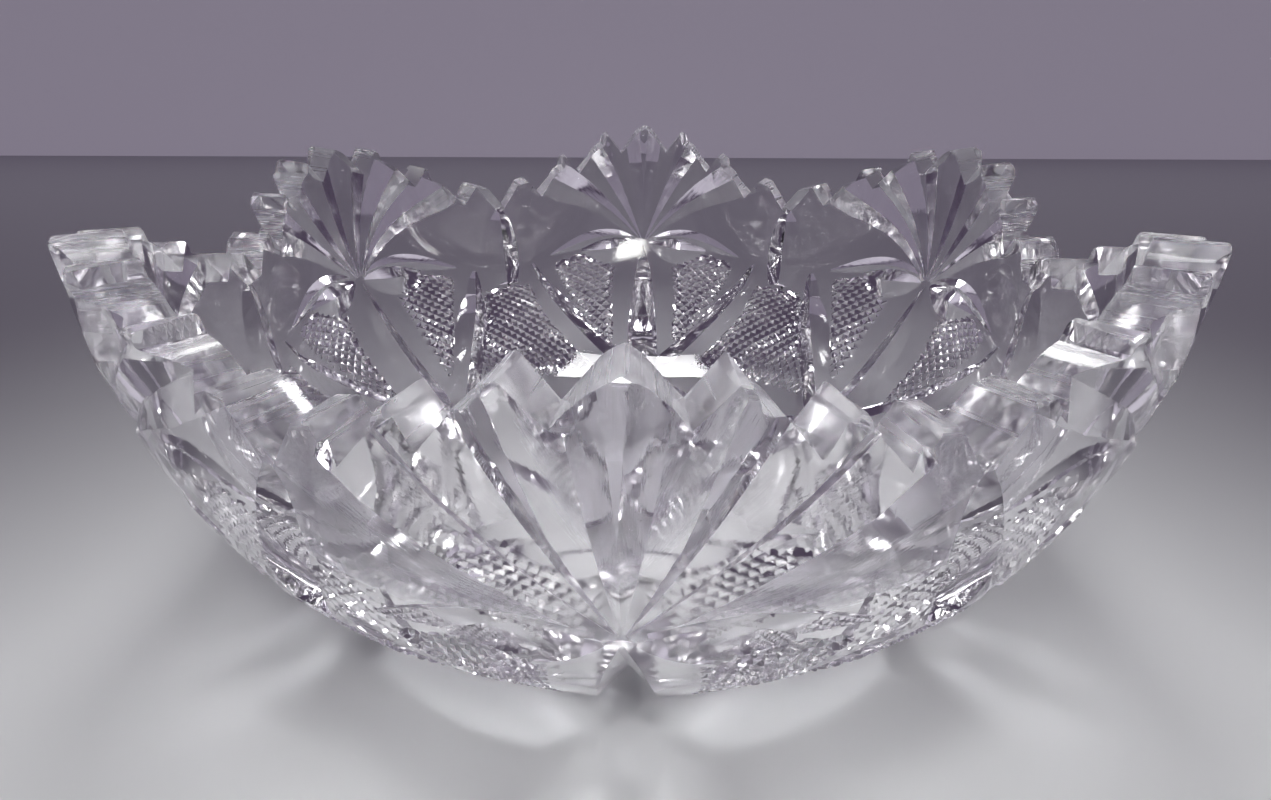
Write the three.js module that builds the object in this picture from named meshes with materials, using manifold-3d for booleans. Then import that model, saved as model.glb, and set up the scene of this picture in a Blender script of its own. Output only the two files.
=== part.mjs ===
// Six-lobed cut-glass bowl: one thick piece of clear glass with wheel-cut V grooves on its outside.
// Millimetres, +Z up, the foot rests on z = 0 and a lobe centre faces -Y.
import * as THREE from 'three';
import Module from 'manifold-3d';
import { mergeVertices } from 'three/addons/utils/BufferGeometryUtils.js';

// Driving dimensions.
const bowlHeight = 85;
const lobeCount = 6;
const teethPerLobe = 7;
const rimDip = 15;
const waistDepth = 9.8;
const lobingStart = 0.2;
const stepsPerTooth = 2;

// Radius and height down the outside and inside of the blank, measured at a lobe centre.
const footRadius = 56;
const outerProfile = [
  [footRadius, 0], [63.5, 6.5], [75, 18], [86.5, 31.5],
  [95.4, 47], [100, 62], [102.4, 81],
];
const rimProfile = [[102, 83.6], [100.6, bowlHeight], [93, bowlHeight]];
const innerProfile = [
  [92.3, 84], [90.9, 72], [86.8, 53], [78, 36.5],
  [65, 23], [48, 14], [26, 11.2], [0, 11],
];

// Wheel cuts: depth below the surface and half angle of the V.
// A level is a place on the outside: 0 at the foot's edge, 1 at the rim and -1 at the foot's centre.
const notch = { depth: 6.6, wallWidth: 3, wallHeight: 4.9, roofWidth: 5.7 };
const dipNotch = { innerDepth: 5, outerDepth: 9.6, halfAngle: 37 };
const ray = { depth: 4.2, tipDepth: 0.7, halfAngle: 59, gathering: 0.97, steps: 3 };
const longLeaf = { depth: 1.6, halfAngle: 60, levels: [0.575, 0.6], bow: 0.02, reach: 0.35 };
const shortLeaf = { depth: 3.5, halfAngle: 57, levels: [0.56, 0.572], bow: -0.022, reach: 0.23 };
const leafGap = 0.02;
const leafSteps = 4;
const seam = { depth: 3.6, halfAngle: 56 };
const star = { depth: 4.4, halfAngle: 52, steps: 14, endShare: 0.12, fadeRate: 15 };
const spoke = { depth: 5.2, halfAngle: 47 };
const apexLevel = 0.57;
const starLevel = 0.59;
const starShift = 0.105;
const cutClearance = 3;
const notchOverrun = 3;

// Courses up one meridian, as [level, share of the full depth] stations.
const seamCourse = [[0.92, 0.1], [0.8, 0.8], [0.68, 1], [0.5, 0.1]];
const spokeCourse = [[-0.8, 0.3], [-0.25, 0.75], [0.04, 1], [0.22, 0.9], [0.42, 0.55], [0.55, 0.06]];

const fullTurn = 2 * Math.PI;
const lobeAngle = fullTurn / lobeCount;
const toothAngle = lobeAngle / teethPerLobe;
const up = new THREE.Vector3(0, 0, 1);
const rimRadius = outerProfile.at(-1)[0];
const flatFootLevel = -0.12;
const normalStep = 0.04;
const searchRounds = 30;
const runOutMargin = 0.04;
const mergeDistance = 1e-4;

// 0 at the middle of a lobe, 1 in the dip between two lobes.
function lobeDip(azimuth) {
  return (1 - Math.cos(lobeCount * azimuth)) / 2;
}

// The lobes grow from nothing near the foot to their full size at the rim.
function lobeBlend(height) {
  return THREE.MathUtils.smoothstep(height / bowlHeight, lobingStart, 1);
}

// Azimuth 0 faces -Y, and a positive azimuth turns towards +X.
function lobedPoint(radius, height, azimuth) {
  const dip = lobeDip(azimuth) * lobeBlend(height);
  const r = radius * (1 - dip * waistDepth / rimRadius);
  return new THREE.Vector3(r * Math.sin(azimuth), -r * Math.cos(azimuth), height - rimDip * dip);
}

function radiusAt(height) {
  for (let i = 1; i < outerProfile.length; i += 1) {
    const [r0, z0] = outerProfile[i - 1];
    const [r1, z1] = outerProfile[i];
    if (height <= z1) return THREE.MathUtils.mapLinear(height, z0, z1, r0, r1);
  }
  return rimRadius;
}

function outsidePoint(azimuth, level) {
  if (level < 0) return lobedPoint(footRadius * (1 + level), 0, azimuth);
  const height = level * bowlHeight;
  return lobedPoint(radiusAt(height), height, azimuth);
}

function outsideNormal(azimuth, level) {
  if (level < flatFootLevel) return up.clone().negate();
  const below = outsidePoint(azimuth, level - normalStep);
  const above = outsidePoint(azimuth, Math.min(level + normalStep, 1));
  const left = outsidePoint(azimuth - normalStep, level);
  const right = outsidePoint(azimuth + normalStep, level);
  return right.sub(left).cross(above.sub(below)).normalize();
}

// Level of the outside surface at a distance from the axis.
function levelAtRadius(azimuth, radius) {
  if (radius <= footRadius) return radius / footRadius - 1;
  let low = 0;
  let high = 1;
  for (let i = 0; i < searchRounds; i += 1) {
    const middle = (low + high) / 2;
    const point = outsidePoint(azimuth, middle);
    if (Math.hypot(point.x, point.y) < radius) low = middle;
    else high = middle;
  }
  return low;
}

// A closed solid from equal rings of points, one ring after the other.
function ringsToGeometry(rings) {
  const size = rings[0].length;
  const positions = rings.flat().flatMap((p) => [p.x, p.y, p.z]);
  const index = [];
  for (let i = 0; i + 1 < rings.length; i += 1) {
    for (let j = 0; j < size; j += 1) {
      const a = i * size + j;
      const b = i * size + (j + 1) % size;
      index.push(a, a + size, b, b, a + size, b + size);
    }
  }
  const last = (rings.length - 1) * size;
  for (let j = 1; j + 1 < size; j += 1) {
    index.push(0, j, j + 1);
    index.push(last, last + j + 1, last + j);
  }
  const geometry = new THREE.BufferGeometry();
  geometry.setAttribute('position', new THREE.Float32BufferAttribute(positions, 3));
  geometry.setIndex(index);
  return geometry;
}

// A cutter swept along stations of { point, normal, depth }. Its section is a list of
// [sideways, upwards] offsets, in order round the outline, from the point below the surface by depth.
function sweptCutter(stations, sectionAt) {
  const rings = stations.map(({ point, normal, depth }, i) => {
    const before = stations[Math.max(i - 1, 0)].point;
    const after = stations[Math.min(i + 1, stations.length - 1)].point;
    const side = normal.clone().cross(after.clone().sub(before)).normalize();
    const edge = point.clone().addScaledVector(normal, -depth);
    return sectionAt(depth).map(([across, above]) => (
      edge.clone().addScaledVector(side, across).addScaledVector(normal, above)
    ));
  });
  return ringsToGeometry(rings);
}

function grooveCutter(stations, halfAngle) {
  const slope = Math.tan(THREE.MathUtils.degToRad(halfAngle));
  return sweptCutter(stations, (depth) => {
    const height = depth + cutClearance;
    return [[0, 0], [-height * slope, height], [height * slope, height]];
  });
}

function station(azimuth, level, depth) {
  return { point: outsidePoint(azimuth, level), normal: outsideNormal(azimuth, level), depth };
}

// The uncut glass: outside and inside profiles turned about the axis and drawn into lobes.
function blank() {
  const points = [[0, 0], ...outerProfile, ...rimProfile, ...innerProfile];
  const profile = points.map(([r, z]) => new THREE.Vector2(r, z));
  const segments = lobeCount * teethPerLobe * stepsPerTooth;
  const geometry = new THREE.LatheGeometry(profile, segments);
  const position = geometry.getAttribute('position');
  const perTurn = profile.length;
  for (let i = 0; i < position.count; i += 1) {
    const { x: radius, y: height } = profile[i % perTurn];
    const turn = Math.floor(i / perTurn) % segments;
    const moved = lobedPoint(radius, height, turn * fullTurn / segments);
    position.setXYZ(i, moved.x, moved.y, moved.z);
  }
  return geometry;
}

// Two stations on a radial line over the rim, one inside the bowl and one outside it.
function acrossRim(azimuth, innerDepth, outerDepth) {
  const inner = lobedPoint(innerProfile[0][0] - notchOverrun, bowlHeight, azimuth);
  const outer = lobedPoint(rimRadius + notchOverrun, bowlHeight, azimuth);
  return [
    { point: inner, normal: up, depth: innerDepth },
    { point: outer, normal: up, depth: outerDepth },
  ];
}

// A radial notch through the full thickness of the rim: steep walls below, a gentler roof slope above.
function rimNotch(azimuth, { depth, wallWidth, wallHeight, roofWidth }) {
  const stations = acrossRim(azimuth, depth, depth);
  const roofSlope = (roofWidth - wallWidth) / (depth - wallHeight);
  const topHeight = depth + cutClearance;
  const topWidth = roofWidth + cutClearance * roofSlope;
  return sweptCutter(stations, () => [
    [0, 0], [-wallWidth, wallHeight], [-topWidth, topHeight],
    [topWidth, topHeight], [wallWidth, wallHeight],
  ]);
}

// A fan ray from a rim notch down to the point where the fan gathers.
function fanRay(lobeAzimuth, offset) {
  const stations = [];
  for (let i = 0; i <= ray.steps; i += 1) {
    const along = i / ray.steps;
    const azimuth = lobeAzimuth + offset * (1 - ray.gathering * along);
    const level = THREE.MathUtils.lerp(1, apexLevel, along);
    stations.push(station(azimuth, level, THREE.MathUtils.lerp(ray.depth, ray.tipDepth, along)));
  }
  return grooveCutter(stations, ray.halfAngle);
}

// A leaf cut beside the gathering point. It is deepest in its middle and runs out at both ends.
function leafCut(lobeAzimuth, side, leaf) {
  const stations = [];
  for (let i = 0; i <= leafSteps; i += 1) {
    const along = i / leafSteps;
    const azimuth = lobeAzimuth + side * THREE.MathUtils.lerp(leafGap, leaf.reach, along);
    const straight = THREE.MathUtils.lerp(...leaf.levels, along);
    const level = straight + leaf.bow * Math.sin(Math.PI * along);
    const share = Math.sin(Math.PI * THREE.MathUtils.lerp(runOutMargin, 1 - runOutMargin, along));
    stations.push(station(azimuth, level, leaf.depth * share));
  }
  return grooveCutter(stations, leaf.halfAngle);
}

// A cut that is straight in plan, from dip to dip, and follows the surface under the bowl.
function starCut(fromAzimuth, toAzimuth) {
  const start = outsidePoint(fromAzimuth, starLevel);
  const end = outsidePoint(toAzimuth, starLevel);
  const stations = [];
  for (let i = 0; i <= star.steps; i += 1) {
    const along = i / star.steps;
    const plan = start.clone().lerp(end, along);
    const azimuth = Math.atan2(plan.x, -plan.y);
    const level = levelAtRadius(azimuth, Math.hypot(plan.x, plan.y));
    const share = Math.min(1, star.endShare + star.fadeRate * Math.min(along, 1 - along));
    stations.push(station(azimuth, level, star.depth * share));
  }
  return grooveCutter(stations, star.halfAngle);
}

// A cut up one meridian.
function cutAlong(azimuth, course, shape) {
  const stations = course.map(([level, share]) => station(azimuth, level, shape.depth * share));
  return grooveCutter(stations, shape.halfAngle);
}

// Everything that is cut once for each lobe: its notches, fan, leaves and spoke, and the dip beside it.
function lobeCutters(lobeAzimuth) {
  const cutters = [];
  for (let i = 0; i < teethPerLobe - 1; i += 1) {
    const offset = (i + 1 - teethPerLobe / 2) * toothAngle;
    cutters.push(rimNotch(lobeAzimuth + offset, notch));
    cutters.push(fanRay(lobeAzimuth, offset));
  }
  const dip = lobeAzimuth + lobeAngle / 2;
  const dipStations = acrossRim(dip, dipNotch.innerDepth, dipNotch.outerDepth);
  cutters.push(grooveCutter(dipStations, dipNotch.halfAngle));
  cutters.push(cutAlong(dip, seamCourse, seam));
  for (const side of [-1, 1]) {
    cutters.push(leafCut(lobeAzimuth, side, longLeaf));
    cutters.push(leafCut(lobeAzimuth, side, shortLeaf));
  }
  cutters.push(cutAlong(lobeAzimuth, spokeCourse, spoke));
  return cutters;
}

// Six long cuts run from beside one dip to beside the next but one, and cross as a six-pointed star.
function starCutters() {
  const cutters = [];
  for (let i = 0; i < lobeCount; i += 1) {
    cutters.push(starCut((i + 0.5) * lobeAngle + starShift, (i + 2.5) * lobeAngle - starShift));
  }
  return cutters;
}

// Leaves out triangles that collapse to a line where the blank meets its axis.
function dropFlatTriangles(index) {
  const kept = [];
  for (let i = 0; i < index.length; i += 3) {
    const [a, b, c] = [index[i], index[i + 1], index[i + 2]];
    if (a !== b && b !== c && c !== a) kept.push(a, b, c);
  }
  return new Uint32Array(kept);
}

function toManifold(wasm, geometry) {
  const clean = geometry.clone();
  clean.deleteAttribute('normal');
  clean.deleteAttribute('uv');
  const merged = mergeVertices(clean, mergeDistance);
  const triVerts = dropFlatTriangles(merged.getIndex().array);
  const vertProperties = new Float32Array(merged.getAttribute('position').array);
  return new wasm.Manifold(new wasm.Mesh({ numProp: 3, vertProperties, triVerts }));
}

function toGeometry(solid) {
  const mesh = solid.getMesh();
  const positions = [];
  for (let i = 0; i < mesh.vertProperties.length; i += mesh.numProp) {
    positions.push(mesh.vertProperties[i], mesh.vertProperties[i + 1], mesh.vertProperties[i + 2]);
  }
  const geometry = new THREE.BufferGeometry();
  geometry.setAttribute('position', new THREE.Float32BufferAttribute(positions, 3));
  geometry.setIndex([...mesh.triVerts]);
  geometry.computeVertexNormals();
  return geometry;
}

async function cutBowl() {
  const wasm = await Module();
  wasm.setup();
  let solid = toManifold(wasm, blank());
  const cutters = starCutters();
  for (let lobe = 0; lobe < lobeCount; lobe += 1) {
    cutters.push(...lobeCutters(lobe * lobeAngle));
  }
  for (const cutter of cutters) {
    solid = solid.subtract(toManifold(wasm, cutter));
  }
  return toGeometry(solid);
}

const object = new THREE.Group();
object.name = 'cut_glass_bowl';
const glass = new THREE.MeshStandardMaterial({ color: 0xe4e6ec, roughness: 0.05, metalness: 0 });
const bowl = new THREE.Mesh(await cutBowl(), glass);
bowl.name = 'bowl';
object.add(bowl);

export default object;
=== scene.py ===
import math
import random

import bmesh
import bpy
from mathutils import Matrix, Vector


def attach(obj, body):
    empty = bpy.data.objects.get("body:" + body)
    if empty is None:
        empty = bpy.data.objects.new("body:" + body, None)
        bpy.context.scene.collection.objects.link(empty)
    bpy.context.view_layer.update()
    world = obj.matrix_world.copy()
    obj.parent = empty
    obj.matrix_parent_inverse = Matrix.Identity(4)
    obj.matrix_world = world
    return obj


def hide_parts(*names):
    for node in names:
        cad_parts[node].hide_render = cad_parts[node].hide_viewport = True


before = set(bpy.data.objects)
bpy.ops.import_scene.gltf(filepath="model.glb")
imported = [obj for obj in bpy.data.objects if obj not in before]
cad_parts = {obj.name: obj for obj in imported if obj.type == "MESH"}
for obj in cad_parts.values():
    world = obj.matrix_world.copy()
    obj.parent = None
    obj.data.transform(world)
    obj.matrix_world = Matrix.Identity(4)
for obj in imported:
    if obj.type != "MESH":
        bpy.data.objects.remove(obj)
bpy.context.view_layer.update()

# Driving dimensions of the bowl, in millimetres. Azimuth 0 faces -Y and grows towards +X.
# A level is a place on the outside: 0 at the foot's edge, 1 at the rim and -1 at the foot's centre.
BOWL_HEIGHT = 85.0
LOBES = 6
TEETH_PER_LOBE = 7
RIM_DIP = 15.0
WAIST_DEPTH = 9.8
LOBING_START = 0.2
FOOT_RADIUS = 56.0
OUTER_PROFILE = [
    (FOOT_RADIUS, 0), (63.5, 6.5), (75, 18), (86.5, 31.5),
    (95.4, 47), (100, 62), (102.4, 81),
]
INNER_PROFILE = [
    (92.3, 83.6), (90.9, 72), (86.8, 53), (78, 36.5),
    (65, 23), (48, 14), (26, 11.2), (0, 11),
]
RIM_RADIUS = OUTER_PROFILE[-1][0]
LIP_ROUNDING = 0.9
LIP_STEPS = 3
INNER_ROUNDING = 0.6
INNER_STEPS = 3
FOOT_RINGS = 6

# Wheel cuts: depths in millimetres, half angles of the V in degrees.
NOTCH_DEPTH = 6.6
NOTCH_SECTION = [(0, 0), (4.3, 5.3), (5.1, 6.05), (6.1, 6.7), (8.2, 7.7)]
DIP_NOTCH_INNER = 5.0
DIP_NOTCH_OUTER = 9.6
DIP_NOTCH_ANGLE = 37
RAY_DEPTH = 4.2
RAY_TIP_DEPTH = 0.7
RAY_ANGLE = 59
RAY_GATHERING = 0.97
LONG_LEAF = {"depth": 1.6, "angle": 60, "levels": (0.575, 0.6), "bow": 0.02, "reach": 0.35}
SHORT_LEAF = {"depth": 3.5, "angle": 57, "levels": (0.56, 0.572), "bow": -0.022, "reach": 0.23}
LEAF_GAP = 0.02
SEAM_DEPTH = 3.6
SEAM_ANGLE = 56
SEAM_COURSE = [(0.92, 0.1), (0.8, 0.8), (0.68, 1), (0.5, 0.1)]
STAR_DEPTH = 4.4
STAR_ANGLE = 52
STAR_LEVEL = 0.59
STAR_SHIFT = 0.105
STAR_END_SHARE = 0.12
STAR_FADE_RATE = 15
SPOKE_DEPTH = 5.2
SPOKE_ANGLE = 47
SPOKE_COURSE = [(-0.8, 0.3), (-0.25, 0.75), (0.04, 1), (0.22, 0.9), (0.42, 0.55), (0.55, 0.06)]
APEX_LEVEL = 0.57
CLEARANCE = 3.0
OVERRUN = 3.0

# Crosshatched fields, as corners of (degrees of azimuth, level).
# The side field lies beside a spoke and is mirrored.
# The seam field lies under the seam between lobes.
SIDE_FIELD = [
    (12.6, 0.556), (19.0, 0.545), (17.2, 0.44), (15.0, 0.34), (11.5, 0.235),
    (8.6, 0.175), (7.6, 0.26), (7.4, 0.38), (6.5, 0.478),
]
SEAM_FIELD = [
    (0, 0.485), (4.6, 0.475), (6.2, 0.38), (8.6, 0.3), (12.8, 0.2), (17.5, 0.13),
    (-17.5, 0.13), (-12.8, 0.2), (-8.6, 0.3), (-6.2, 0.38), (-4.6, 0.475),
]
HATCH_PITCH = 2.35
HATCH_DEPTH = 1.08
HATCH_ANGLE = 46
HATCH_LEAN = 47
HATCH_RUN_OUT = 0.7
HATCH_END_SHARE = 0.3
HATCH_CLEARANCE = 0.25
FIELD_RADIUS = 86.0
FIELD_RISE = BOWL_HEIGHT * 1.24

# Hand work: how far a cut may stray, in radians of azimuth and as a share of its depth.
STRAY = 0.005
DEPTH_STRAY = 0.05
HAND_SEED = 11

LOBE_ANGLE = 2 * math.pi / LOBES
TOOTH_ANGLE = LOBE_ANGLE / TEETH_PER_LOBE
SEGMENTS = LOBES * TEETH_PER_LOBE * 8
FLAT_FOOT_LEVEL = -0.12
SHARP_ANGLE = 16
CLEAN_TOLERANCE = 0.001
MM = 0.001
UP = Vector((0, 0, 1))
hand = random.Random(HAND_SEED)


def lerp(a, b, t):
    return a + (b - a) * t


def smoothstep(t):
    t = min(max(t, 0.0), 1.0)
    return t * t * (3 - 2 * t)


def tangents(points):
    """Directions of a smooth curve at each of the given points."""
    steps = [(Vector(b) - Vector(a)).normalized() for a, b in zip(points, points[1:])]
    inner = [(before + after).normalized() for before, after in zip(steps, steps[1:])]
    return [steps[0]] + inner + [steps[-1]]


def smooth_curve(points, per_span):
    """Points along a smooth curve through the given two-dimensional points."""
    directions = tangents(points)
    curve = []
    for i in range(len(points) - 1):
        a, b = Vector(points[i]), Vector(points[i + 1])
        length = (b - a).length
        for j in range(per_span):
            t = j / per_span
            start_pull = directions[i] * length * (t**3 - 2 * t**2 + t)
            end_pull = directions[i + 1] * length * (t**3 - t**2)
            curve.append(a.lerp(b, smoothstep(t)) + start_pull + end_pull)
    curve.append(Vector(points[-1]))
    return curve


OUTER_CURVE = smooth_curve(OUTER_PROFILE, 8)
INNER_CURVE = smooth_curve(INNER_PROFILE, 6)


def lobed(radius, height, azimuth):
    """A point of the round blank after it is drawn into lobes."""
    blend = smoothstep((height / BOWL_HEIGHT - LOBING_START) / (1 - LOBING_START))
    dip = blend * (1 - math.cos(LOBES * azimuth)) / 2
    r = radius * (1 - dip * WAIST_DEPTH / RIM_RADIUS)
    return Vector((r * math.sin(azimuth), -r * math.cos(azimuth), height - RIM_DIP * dip))


def radius_at(height):
    for a, b in zip(OUTER_CURVE, OUTER_CURVE[1:]):
        if height <= b.y:
            return lerp(a.x, b.x, (height - a.y) / (b.y - a.y))
    return RIM_RADIUS


def outside(azimuth, level):
    if level < 0:
        return lobed(FOOT_RADIUS * (1 + level), 0, azimuth)
    height = level * BOWL_HEIGHT
    return lobed(radius_at(height), height, azimuth)


def outside_normal(azimuth, level):
    if level < FLAT_FOOT_LEVEL:
        return -UP
    step = 0.03
    rise = outside(azimuth, min(level + step, 1)) - outside(azimuth, level - step)
    turn = outside(azimuth + step, level) - outside(azimuth - step, level)
    return turn.cross(rise).normalized()


def level_at_radius(azimuth, radius):
    """Level of the outside surface at a distance from the axis, by halving."""
    if radius <= FOOT_RADIUS:
        return radius / FOOT_RADIUS - 1
    low, high = 0.0, 1.0
    for _ in range(30):
        middle = (low + high) / 2
        if outside(azimuth, middle).xy.length < radius:
            low = middle
        else:
            high = middle
    return low


def station(azimuth, level, depth):
    return outside(azimuth, level), outside_normal(azimuth, level), depth


def strayed(azimuth):
    return azimuth + hand.uniform(-STRAY, STRAY)


def strayed_depth(depth):
    return depth * (1 + hand.uniform(-DEPTH_STRAY, DEPTH_STRAY))


def all_lobes():
    return [i * LOBE_ANGLE for i in range(LOBES)]


def notch_offsets():
    """Azimuths of the notches inside one lobe, from its centre."""
    return [(k + 1 - TEETH_PER_LOBE / 2) * TOOTH_ANGLE for k in range(TEETH_PER_LOBE - 1)]


# Cutters. A cutter mesh is a pair of lists, points and faces.
# Its solids don't overlap.

def add_rings(mesh, rings):
    """Adds the closed solid between equal rings of points."""
    points, faces = mesh
    start, size = len(points), len(rings[0])
    for ring in rings:
        points.extend(ring)
    for i in range(len(rings) - 1):
        for j in range(size):
            a = start + i * size + j
            b = start + i * size + (j + 1) % size
            faces.append((a, a + size, b + size, b))
    last = start + (len(rings) - 1) * size
    faces.append(tuple(range(start, start + size)))
    faces.append(tuple(reversed(range(last, last + size))))


def sweep(mesh, stations, section_at):
    """Adds a cutter whose section is a list of (sideways, upwards) offsets from its lowest edge."""
    rings = []
    for i, (point, normal, depth) in enumerate(stations):
        before = stations[max(i - 1, 0)][0]
        after = stations[min(i + 1, len(stations) - 1)][0]
        side = normal.cross(after - before).normalized()
        edge = point - normal * depth
        rings.append([edge + side * across + normal * above for across, above in section_at(depth)])
    add_rings(mesh, rings)


def groove(mesh, stations, half_angle, clearance=CLEARANCE):
    """Adds a V-shaped cutter."""
    slope = math.tan(math.radians(half_angle))

    def section(depth):
        height = depth + clearance
        return [(0, 0), (-height * slope, height), (height * slope, height)]

    sweep(mesh, stations, section)


def make_object(name, points, faces):
    data = bpy.data.meshes.new(name)
    data.from_pydata([tuple(p) for p in points], [], faces)
    data.validate()
    made = bpy.data.objects.new(name, data)
    bpy.context.scene.collection.objects.link(made)
    return made


def subtract(target, mesh, name):
    """Cuts the solids of a cutter mesh out of the target."""
    cutter = make_object(name, *mesh)
    modifier = target.modifiers.new(name, "BOOLEAN")
    modifier.operation = "DIFFERENCE"
    modifier.solver = "MANIFOLD"
    modifier.object = cutter
    graph = bpy.context.evaluated_depsgraph_get()
    cut = bpy.data.meshes.new_from_object(target.evaluated_get(graph))
    target.modifiers.clear()
    spent = [target.data, cutter.data]
    target.data = cut
    bpy.data.objects.remove(cutter)
    for data in spent:
        bpy.data.meshes.remove(data)


# The blank.

def lip_profile():
    """The rounded outer lip, the flat crest and the small inner rounding."""
    profile = []
    for i in range(LIP_STEPS + 1):
        angle = math.pi / 2 * i / LIP_STEPS
        x = RIM_RADIUS - LIP_ROUNDING * (1 - math.cos(angle))
        y = BOWL_HEIGHT - LIP_ROUNDING * 1.3 * (1 - math.sin(angle))
        profile.append(Vector((x, y)))
    inner_edge = INNER_PROFILE[0][0] + INNER_ROUNDING
    profile.append(Vector((lerp(RIM_RADIUS, inner_edge, 0.6), BOWL_HEIGHT)))
    for i in range(INNER_STEPS + 1):
        angle = math.pi / 2 * i / INNER_STEPS
        x = inner_edge - INNER_ROUNDING * math.sin(angle)
        y = BOWL_HEIGHT - INNER_ROUNDING * (1 - math.cos(angle))
        profile.append(Vector((x, y)))
    return profile


def blank():
    """The uncut glass, as a closed surface of revolution drawn into lobes."""
    profile = [Vector((FOOT_RADIUS * i / FOOT_RINGS, 0)) for i in range(1, FOOT_RINGS)]
    profile += OUTER_CURVE[:-1] + lip_profile() + INNER_CURVE[1:-1]
    points, faces = [], []
    count = len(profile)
    for s in range(SEGMENTS):
        azimuth = 2 * math.pi * s / SEGMENTS
        points.extend(lobed(p.x, p.y, azimuth) for p in profile)
    bottom, floor = len(points), len(points) + 1
    points.append(Vector((0, 0, 0)))
    points.append(Vector((0, 0, INNER_PROFILE[-1][1])))
    for s in range(SEGMENTS):
        t = (s + 1) % SEGMENTS
        for j in range(count - 1):
            faces.append((s * count + j, t * count + j, t * count + j + 1, s * count + j + 1))
        faces.append((bottom, t * count, s * count))
        faces.append((floor, s * count + count - 1, t * count + count - 1))
    return make_object("bowl_glass", points, faces)


# Large cuts.

def notch_section(depth):
    left = [(-x, y) for x, y in NOTCH_SECTION[1:]]
    right = [(x, y) for x, y in reversed(NOTCH_SECTION[1:])]
    top = NOTCH_SECTION[-1][1] + CLEARANCE
    width = NOTCH_SECTION[-1][0] + 1.0
    return [(0, 0)] + left + [(-width, top), (width, top)] + right


def rim_stations(azimuth, inner_depth, outer_depth):
    """Two stations on a radial line over the rim, one inside the bowl and one outside it."""
    inner = lobed(INNER_PROFILE[0][0] - OVERRUN, BOWL_HEIGHT, azimuth)
    outer = lobed(RIM_RADIUS + OVERRUN, BOWL_HEIGHT, azimuth)
    return [(inner, UP, inner_depth), (outer, UP, outer_depth)]


def cut_notches(bowl):
    for offset in notch_offsets():
        mesh = ([], [])
        for lobe in all_lobes():
            depth = strayed_depth(NOTCH_DEPTH)
            sweep(mesh, rim_stations(strayed(lobe + offset), depth, depth), notch_section)
        subtract(bowl, mesh, "notches")
    mesh = ([], [])
    for lobe in all_lobes():
        stations = rim_stations(lobe + LOBE_ANGLE / 2, DIP_NOTCH_INNER, DIP_NOTCH_OUTER)
        groove(mesh, stations, DIP_NOTCH_ANGLE)
    subtract(bowl, mesh, "dip_notches")


def ray_stations(lobe, offset, steps=10):
    """From a rim notch down to the point where the fan gathers."""
    start = strayed(offset)
    depth = strayed_depth(RAY_DEPTH)
    stations = []
    for i in range(steps + 1):
        t = i / steps
        azimuth = lobe + start * (1 - RAY_GATHERING * t)
        stations.append(station(azimuth, lerp(1, APEX_LEVEL, t), lerp(depth, RAY_TIP_DEPTH, t)))
    return stations


def cut_fans(bowl):
    for offset in notch_offsets():
        mesh = ([], [])
        for lobe in all_lobes():
            groove(mesh, ray_stations(lobe, offset), RAY_ANGLE)
        subtract(bowl, mesh, "rays")


def leaf_stations(lobe, side, leaf, steps=14):
    """A leaf is deepest in its middle and runs out at both ends."""
    stations = []
    for i in range(steps + 1):
        t = i / steps
        swell = math.sin(math.pi * lerp(0.04, 0.96, t))
        azimuth = lobe + side * lerp(LEAF_GAP, leaf["reach"], t)
        level = lerp(*leaf["levels"], t) + leaf["bow"] * swell
        stations.append(station(azimuth, level, leaf["depth"] * swell))
    return stations


def cut_leaves(bowl):
    for leaf in (LONG_LEAF, SHORT_LEAF):
        for side in (-1, 1):
            mesh = ([], [])
            for lobe in all_lobes():
                groove(mesh, leaf_stations(strayed(lobe), side, leaf), leaf["angle"])
            subtract(bowl, mesh, "leaves")


def along_meridian(azimuth, course, depth, per_span=5):
    """Stations up one meridian through (level, share of the full depth) points."""
    curve = smooth_curve(course, per_span)
    return [station(azimuth, p.x, depth * max(p.y, 0.02)) for p in curve]


def cut_meridians(bowl, start, course, depth, half_angle):
    mesh = ([], [])
    for lobe in all_lobes():
        groove(mesh, along_meridian(lobe + start, course, depth), half_angle)
    subtract(bowl, mesh, "meridians")


def star_stations(start_azimuth, end_azimuth, steps=40):
    """A cut that is straight in plan and follows the surface under the bowl."""
    start = outside(start_azimuth, STAR_LEVEL)
    end = outside(end_azimuth, STAR_LEVEL)
    stations = []
    for i in range(steps + 1):
        t = i / steps
        plan = start.lerp(end, t)
        azimuth = math.atan2(plan.x, -plan.y)
        share = min(1, STAR_END_SHARE + STAR_FADE_RATE * min(t, 1 - t))
        level = level_at_radius(azimuth, plan.xy.length)
        stations.append(station(azimuth, level, STAR_DEPTH * share))
    return stations


def cut_star(bowl):
    """Six long cuts run from beside one dip to beside the next but one, as a six-pointed star."""
    for lobe in all_lobes():
        start = lobe + LOBE_ANGLE / 2 + STAR_SHIFT
        end = lobe + LOBE_ANGLE * 5 / 2 - STAR_SHIFT
        mesh = ([], [])
        groove(mesh, star_stations(start, end), STAR_ANGLE)
        subtract(bowl, mesh, "star")


# Crosshatching.

def flat_place(degrees, level):
    """A field corner unrolled into a flat plane, in millimetres."""
    return Vector((math.radians(degrees) * FIELD_RADIUS, level * FIELD_RISE))


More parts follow.
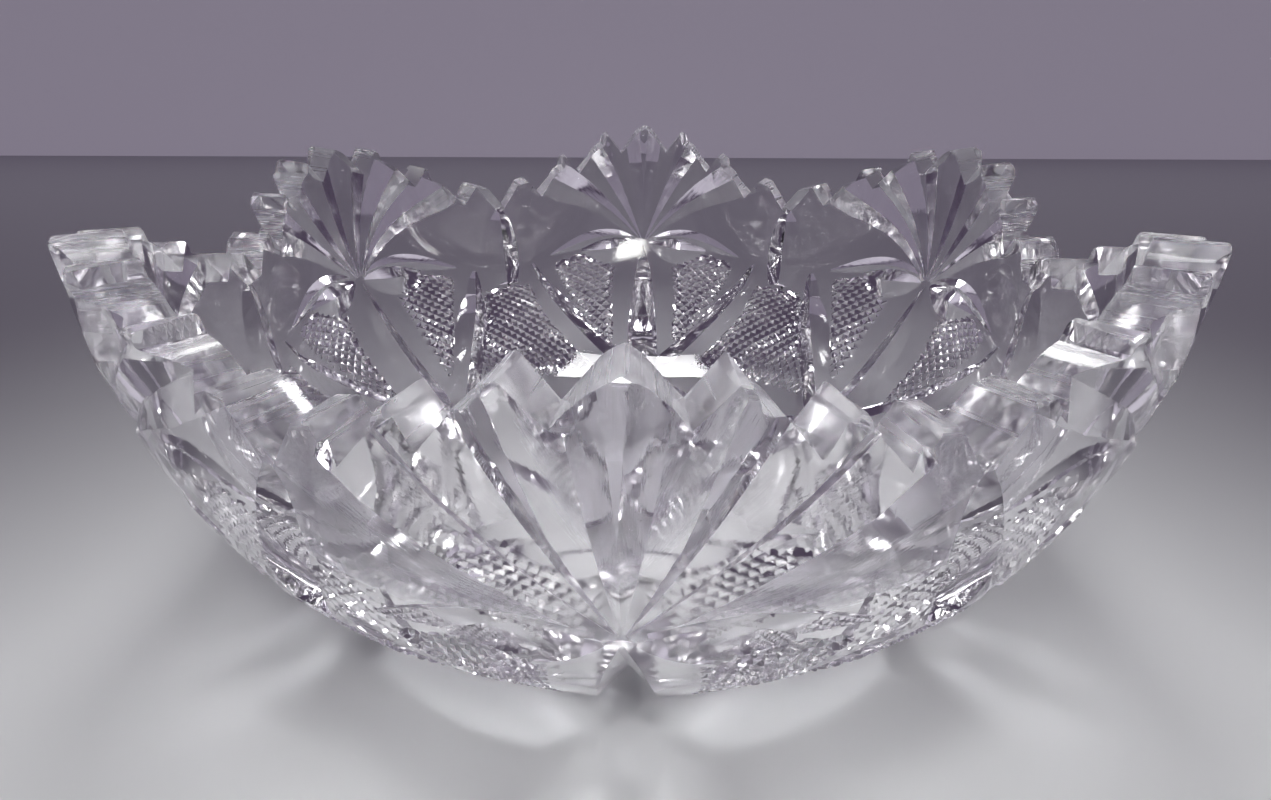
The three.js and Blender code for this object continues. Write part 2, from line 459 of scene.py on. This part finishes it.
def clipped_lines(corners, lean):
    """Parallel lines across a polygon, as pairs of end points, in order across it."""
    along = Vector((math.sin(math.radians(lean)), math.cos(math.radians(lean))))
    across = Vector((along.y, -along.x))
    lowest = min(corner.dot(across) for corner in corners)
    highest = max(corner.dot(across) for corner in corners)
    count = int((highest - lowest) / HATCH_PITCH)
    first = (lowest + highest - (count - 1) * HATCH_PITCH) / 2
    lines = []
    for i in range(count):
        offset = first + i * HATCH_PITCH
        hits = []
        for a, b in zip(corners, corners[1:] + corners[:1]):
            da, db = a.dot(across) - offset, b.dot(across) - offset
            if da * db < 0:
                hits.append(a.lerp(b, da / (da - db)).dot(along))
        hits.sort()
        for low, high in zip(hits[0::2], hits[1::2]):
            spans = (low - HATCH_RUN_OUT, high + HATCH_RUN_OUT)
            lines.append((i, [across * offset + along * t for t in spans]))
    return lines


def hatch_stations(anchor, side, ends, steps=6):
    """A fine cut over a field, shallow at both ends."""
    depth = strayed_depth(HATCH_DEPTH)
    stations = []
    for i in range(steps + 1):
        place = ends[0].lerp(ends[1], i / steps)
        azimuth = anchor + side * place.x / FIELD_RADIUS
        share = HATCH_END_SHARE if i in (0, steps) else 1
        stations.append(station(azimuth, place.y / FIELD_RISE, depth * share))
    return stations


def hatched_fields():
    """Every field as its anchor azimuth, its side and its unrolled corners."""
    side_field = [flat_place(*corner) for corner in SIDE_FIELD]
    seam_field = [flat_place(*corner) for corner in SEAM_FIELD]
    fields = []
    for lobe in all_lobes():
        fields.append((lobe, -1, side_field))
        fields.append((lobe, 1, side_field))
        fields.append((lobe + LOBE_ANGLE / 2, 1, seam_field))
    return fields


def cut_crosshatching(bowl):
    """Each direction is cut in two goes, so that neighbouring cutters never overlap."""
    for lean in (-HATCH_LEAN, HATCH_LEAN):
        for parity in (0, 1):
            mesh = ([], [])
            for anchor, side, corners in hatched_fields():
                for i, ends in clipped_lines(corners, lean):
                    if i % 2 == parity:
                        groove(mesh, hatch_stations(anchor, side, ends), HATCH_ANGLE, HATCH_CLEARANCE)
            subtract(bowl, mesh, "crosshatching")


def clean(made):
    """Merges points closer than the tolerance and drops slivers and doubled faces."""
    mesh = bmesh.new()
    mesh.from_mesh(made.data)
    bmesh.ops.remove_doubles(mesh, verts=mesh.verts, dist=CLEAN_TOLERANCE)
    bmesh.ops.dissolve_degenerate(mesh, edges=mesh.edges, dist=CLEAN_TOLERANCE)
    faces_by_corners = {}
    for face in mesh.faces:
        faces_by_corners.setdefault(frozenset(face.verts), []).append(face)
    flaps = [face for alike in faces_by_corners.values() if len(alike) > 1 for face in alike]
    bmesh.ops.delete(mesh, geom=flaps, context="FACES")
    mesh.to_mesh(made.data)
    mesh.free()


def build_bowl():
    bowl = blank()
    cut_star(bowl)
    cut_meridians(bowl, 0, SPOKE_COURSE, SPOKE_DEPTH, SPOKE_ANGLE)
    cut_crosshatching(bowl)
    cut_meridians(bowl, LOBE_ANGLE / 2, SEAM_COURSE, SEAM_DEPTH, SEAM_ANGLE)
    cut_leaves(bowl)
    cut_fans(bowl)
    cut_notches(bowl)
    clean(bowl)
    bowl.data.transform(Matrix.Scale(MM, 4))
    bowl.data.shade_smooth()
    bowl.data.set_sharp_from_angle(angle=math.radians(SHARP_ANGLE))
    return bowl


# Materials.

class Nodes:
    """Short calls for building one material's node tree."""

    def __init__(self, material):
        material.use_nodes = True
        self.tree = material.node_tree
        self.shader = self.tree.nodes["Principled BSDF"]

    def add(self, kind, *sources, **settings):
        """Adds a node, sets it up and feeds its inputs from sockets or plain values."""
        node = self.tree.nodes.new(kind)
        for name, value in settings.items():
            setattr(node, name, value)
        for socket, source in zip(node.inputs, sources):
            self.feed(socket, source)
        return node

    def feed(self, socket, source):
        if isinstance(source, bpy.types.NodeSocket):
            self.tree.links.new(source, socket)
        elif source is not None:
            socket.default_value = source

    def maths(self, operation, *sources):
        return self.add("ShaderNodeMath", *sources, operation=operation).outputs[0]

    def noise(self, place, scale, detail=3.0, roughness=0.55):
        node = self.add("ShaderNodeTexNoise", place)
        node.inputs["Scale"].default_value = scale
        node.inputs["Detail"].default_value = detail
        node.inputs["Roughness"].default_value = roughness
        return node.outputs["Fac"]

    def ramp(self, value, low, high, low_out=0.0, high_out=1.0):
        """A smooth step from one value to another between two limits of the input."""
        node = self.add("ShaderNodeMapRange", interpolation_type="SMOOTHSTEP")
        for name, source in zip(("Value", "From Min", "From Max", "To Min", "To Max"),
                                (value, low, high, low_out, high_out)):
            self.feed(node.inputs[name], source)
        return node.outputs["Result"]


GLASS_TINT = (0.972, 0.962, 0.985, 1)
GLASS_IOR = 1.54

# Where each kind of wear lies: scales and stretches of its noise, and the limits it fades between.
# The roofs fade between two depths below the rim, in metres, and two upward parts of the normal.
ROOF_DEPTHS = (0.0085, 0.0045)
ROOF_SLOPES = (0.35, 0.6)
MARKS_AROUND = 30.0
MARKS_AWAY = 40.0
MARK_SCALE = 1.6
MARK_LIMITS = (0.3, 0.7)
WAVE_SCALE = 95.0
WAVE_LIMITS = (0.35, 0.75)
PIT_SCALE = 900.0
PIT_LIMITS = (0.68, 0.78)
SCRATCH_TURN = (0.4, 0.9, 0.3)
SCRATCH_STRETCH = (40.0, 1500.0, 60.0)
SCRATCH_LIMITS = (0.7, 0.76)

# What the wear does: roughness that it adds, and heights as multiples of the bump distance in metres.
ROOF_ROUGHNESS = (0.12, 0.3)
WAVE_ROUGHNESS = 0.05
SCRATCH_ROUGHNESS = 0.12
MARK_HEIGHT = 0.35
WAVE_HEIGHT = 1.6
PIT_HEIGHT = -0.25
SCRATCH_HEIGHT = -0.12
BUMP_DISTANCE = 0.00002


def fan_coordinates(nodes, x, y, z):
    """Position around and away from the point where each lobe's fan gathers."""
    azimuth = nodes.maths("ARCTAN2", x, nodes.maths("MULTIPLY", y, -1.0))
    lobe = nodes.maths("ROUND", nodes.maths("DIVIDE", azimuth, LOBE_ANGLE))
    inside_lobe = nodes.maths("SUBTRACT", azimuth, nodes.maths("MULTIPLY", lobe, LOBE_ANGLE))
    across = nodes.maths("MULTIPLY", inside_lobe, MM * RIM_RADIUS)
    above = nodes.maths("SUBTRACT", z, MM * BOWL_HEIGHT * APEX_LEVEL)
    turn = nodes.maths("ARCTAN2", across, above)
    squares = nodes.maths("ADD", nodes.maths("POWER", across, 2.0), nodes.maths("POWER", above, 2.0))
    distance = nodes.maths("SQRT", squares)
    return azimuth, lobe, turn, distance


def tooth_roofs(nodes, azimuth, z):
    """Marks faces that look up and lie close below the rim, which falls between lobes."""
    normal = nodes.add("ShaderNodeNewGeometry").outputs["Normal"]
    up = nodes.add("ShaderNodeSeparateXYZ", normal).outputs[2]
    turns = nodes.maths("COSINE", nodes.maths("MULTIPLY", azimuth, LOBES))
    fall = nodes.maths("SUBTRACT", 1.0, turns)
    rim = nodes.maths("MULTIPLY_ADD", fall, -0.5 * MM * RIM_DIP, MM * BOWL_HEIGHT)
    near_rim = nodes.ramp(nodes.maths("SUBTRACT", rim, z), *ROOF_DEPTHS)
    return nodes.maths("MULTIPLY", near_rim, nodes.ramp(up, *ROOF_SLOPES))


def wheel_marks(nodes, turn, distance, lobe):
    """Streaks that run along the rays of each fan."""
    around = nodes.maths("MULTIPLY", turn, MARKS_AROUND)
    away = nodes.maths("MULTIPLY", distance, MARKS_AWAY)
    along_rays = nodes.add("ShaderNodeCombineXYZ", around, away, lobe).outputs[0]
    return nodes.noise(along_rays, MARK_SCALE, 4.0)


def fine_scratches(nodes, place):
    """Thin lines in one direction across the whole bowl."""
    mapping = nodes.add("ShaderNodeMapping", place, None, SCRATCH_TURN, SCRATCH_STRETCH)
    return nodes.ramp(nodes.noise(mapping.outputs[0], 1.0, 2.0), *SCRATCH_LIMITS)


def glass_material():
    """Clear glass with wheel marks, faint waves, pits, scratches and slightly satin tooth roofs."""
    material = bpy.data.materials.new("clear_cut_glass")
    nodes = Nodes(material)
    place = nodes.add("ShaderNodeTexCoord").outputs["Object"]
    x, y, z = nodes.add("ShaderNodeSeparateXYZ", place).outputs
    azimuth, lobe, turn, distance = fan_coordinates(nodes, x, y, z)
    marks = wheel_marks(nodes, turn, distance, lobe)
    waves = nodes.noise(place, WAVE_SCALE, 1.0, 0.4)
    pits = nodes.ramp(nodes.noise(place, PIT_SCALE, 2.0), *PIT_LIMITS)
    scratches = fine_scratches(nodes, place)
    roofs = tooth_roofs(nodes, azimuth, z)

    rough = nodes.maths("MULTIPLY", roofs, nodes.ramp(marks, *MARK_LIMITS, *ROOF_ROUGHNESS))
    rough = nodes.maths("ADD", rough, nodes.ramp(waves, *WAVE_LIMITS, 0.0, WAVE_ROUGHNESS))
    rough = nodes.maths("MULTIPLY_ADD", scratches, SCRATCH_ROUGHNESS, rough)
    nodes.feed(nodes.shader.inputs["Roughness"], rough)

    height = nodes.maths("MULTIPLY_ADD", marks, MARK_HEIGHT, nodes.maths("MULTIPLY", waves, WAVE_HEIGHT))
    height = nodes.maths("MULTIPLY_ADD", pits, PIT_HEIGHT, height)
    height = nodes.maths("MULTIPLY_ADD", scratches, SCRATCH_HEIGHT, height)
    bump = nodes.add("ShaderNodeBump")
    bump.inputs["Strength"].default_value = 1.0
    bump.inputs["Distance"].default_value = BUMP_DISTANCE
    nodes.feed(bump.inputs["Height"], height)
    nodes.feed(nodes.shader.inputs["Normal"], bump.outputs["Normal"])

    nodes.shader.inputs["Base Color"].default_value = GLASS_TINT
    nodes.shader.inputs["IOR"].default_value = GLASS_IOR
    nodes.shader.inputs["Transmission Weight"].default_value = 1
    return material


def plain_material(name, colour, roughness):
    material = bpy.data.materials.new(name)
    material.use_nodes = True
    shader = material.node_tree.nodes["Principled BSDF"]
    shader.inputs["Base Color"].default_value = colour
    shader.inputs["Roughness"].default_value = roughness
    return material


# Stage, in metres and watts. A spread under 180 degrees narrows a light's beam.

FLOOR_HALF = 4.0
FLOOR_GAP = 0.0003  # keeps the floor off the flat foot, so that no ray meets both at once
WALL_PLACE = 0.62
WALL_HEIGHT = 0.15
WALL_GLOW = (0.21, 0.19, 0.235, 1)
WALL_GLOW_STRENGTH = 0.8
ROOM_COLOUR = (0.06, 0.045, 0.075, 1)  # what lights the bowl and shows in the glass
SEEN_COLOUR = (0.216, 0.191, 0.246, 1)  # what the camera sees directly beside the wall
SOFTBOXES = [
    {"name": "key_softbox", "place": (0.03, -0.3, 0.3), "target": (0, -0.1, 0),
     "size": (0.07, 0.06), "power": 0.15, "colour": (1, 1, 0.97), "spread": 90},
    {"name": "pool_softbox", "place": (0, -0.15, 0.45), "target": (0, -0.1, 0),
     "size": (0.42, 0.07), "power": 0.072, "colour": (1, 1, 0.98), "spread": 36},
    {"name": "top_softbox", "place": (0, 0.12, 0.45), "target": (0, -0.04, 0),
     "size": (0.13, 0.1), "power": 0.14, "colour": (1, 1, 1), "spread": 70},
    {"name": "back_softbox", "place": (0, 0.66, 0.3), "target": (0, 0, 0.08),
     "size": (1.7, 0.26), "power": 0.8, "colour": (0.94, 0.9, 1), "spread": 180},
    {"name": "fill_softbox", "place": (0, -0.8, 0.45), "target": (0, 0, 0.05),
     "size": (1.2, 0.7), "power": 0.4, "colour": (0.98, 0.97, 1), "spread": 180},
]
CAMERA_SENSOR = 36
CAMERA_LENS = 22.4554
CAMERA_PLACE = (-0.00051, -0.16839, 0.11387)
CAMERA_TILT = 25.233
CAMERA_TURN = 1.3
CLIP_START = 0.01


def add_area_light(name, place, target, size, power, colour, spread):
    data = bpy.data.lights.new(name, "AREA")
    data.shape = "RECTANGLE"
    data.size, data.size_y = size
    data.energy = power
    data.color = colour
    data.spread = math.radians(spread)
    light = bpy.data.objects.new(name, data)
    bpy.context.scene.collection.objects.link(light)
    light.location = place
    light.visible_camera = False
    light.rotation_euler = (Vector(target) - Vector(place)).to_track_quat("-Z", "Y").to_euler()


def build_stage():
    h, g = FLOOR_HALF, -FLOOR_GAP
    floor = make_object("floor", [(-h, -h, g), (h, -h, g), (h, h, g), (-h, h, g)], [(0, 1, 2, 3)])
    floor.data.materials.append(plain_material("pale_floor", (0.62, 0.63, 0.64, 1), 0.6))
    y, z = WALL_PLACE, WALL_HEIGHT
    wall = make_object("backdrop", [(-h, y, g), (h, y, g), (h, y, z), (-h, y, z)], [(0, 1, 2, 3)])
    backdrop = plain_material("grey_backdrop", (0.5, 0.48, 0.53, 1), 0.8)
    panel = backdrop.node_tree.nodes["Principled BSDF"]
    panel.inputs["Emission Color"].default_value = WALL_GLOW
    panel.inputs["Emission Strength"].default_value = WALL_GLOW_STRENGTH
    wall.data.materials.append(backdrop)
    for softbox in SOFTBOXES:
        add_area_light(**softbox)
    build_world()


def build_world():
    """A dim room, seen directly as a plain backdrop of the wall's tone."""
    world = bpy.data.worlds.new("studio")
    bpy.context.scene.world = world
    world.use_nodes = True
    tree = world.node_tree
    dim = tree.nodes["Background"]
    dim.inputs["Color"].default_value = ROOM_COLOUR
    seen = tree.nodes.new("ShaderNodeBackground")
    seen.inputs["Color"].default_value = SEEN_COLOUR
    choice = tree.nodes.new("ShaderNodeMixShader")
    path = tree.nodes.new("ShaderNodeLightPath")
    tree.links.new(path.outputs["Is Camera Ray"], choice.inputs[0])
    tree.links.new(dim.outputs[0], choice.inputs[1])
    tree.links.new(seen.outputs[0], choice.inputs[2])
    tree.links.new(choice.outputs[0], tree.nodes["World Output"].inputs["Surface"])


def build_camera():
    data = bpy.data.cameras.new("camera")
    data.sensor_width = CAMERA_SENSOR
    data.lens = CAMERA_LENS
    data.clip_start = CLIP_START
    camera = bpy.data.objects.new("camera", data)
    bpy.context.scene.collection.objects.link(camera)
    turn = math.radians(CAMERA_TURN)
    camera.location = Matrix.Rotation(turn, 3, "Z") @ Vector(CAMERA_PLACE)
    camera.rotation_euler = (math.radians(90 - CAMERA_TILT), 0, turn)
    bpy.context.scene.camera = camera


def render_settings():
    bpy.context.scene.view_settings.view_transform = "Standard"
    cycles = bpy.context.scene.cycles
    cycles.max_bounces = 24
    cycles.transmission_bounces = 20
    cycles.glossy_bounces = 10
    cycles.diffuse_bounces = 3
    cycles.transparent_max_bounces = 8
    cycles.caustics_refractive = True
    cycles.caustics_reflective = True
    cycles.blur_glossy = 0.3
    cycles.sample_clamp_indirect = 25
    cycles.use_denoising = True


bowl = build_bowl()
bowl.data.materials.clear()
bowl.data.materials.append(glass_material())
print("bowl faces", len(bowl.data.polygons))
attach(bowl, "root")
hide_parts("bowl")
build_stage()
build_camera()
render_settings()
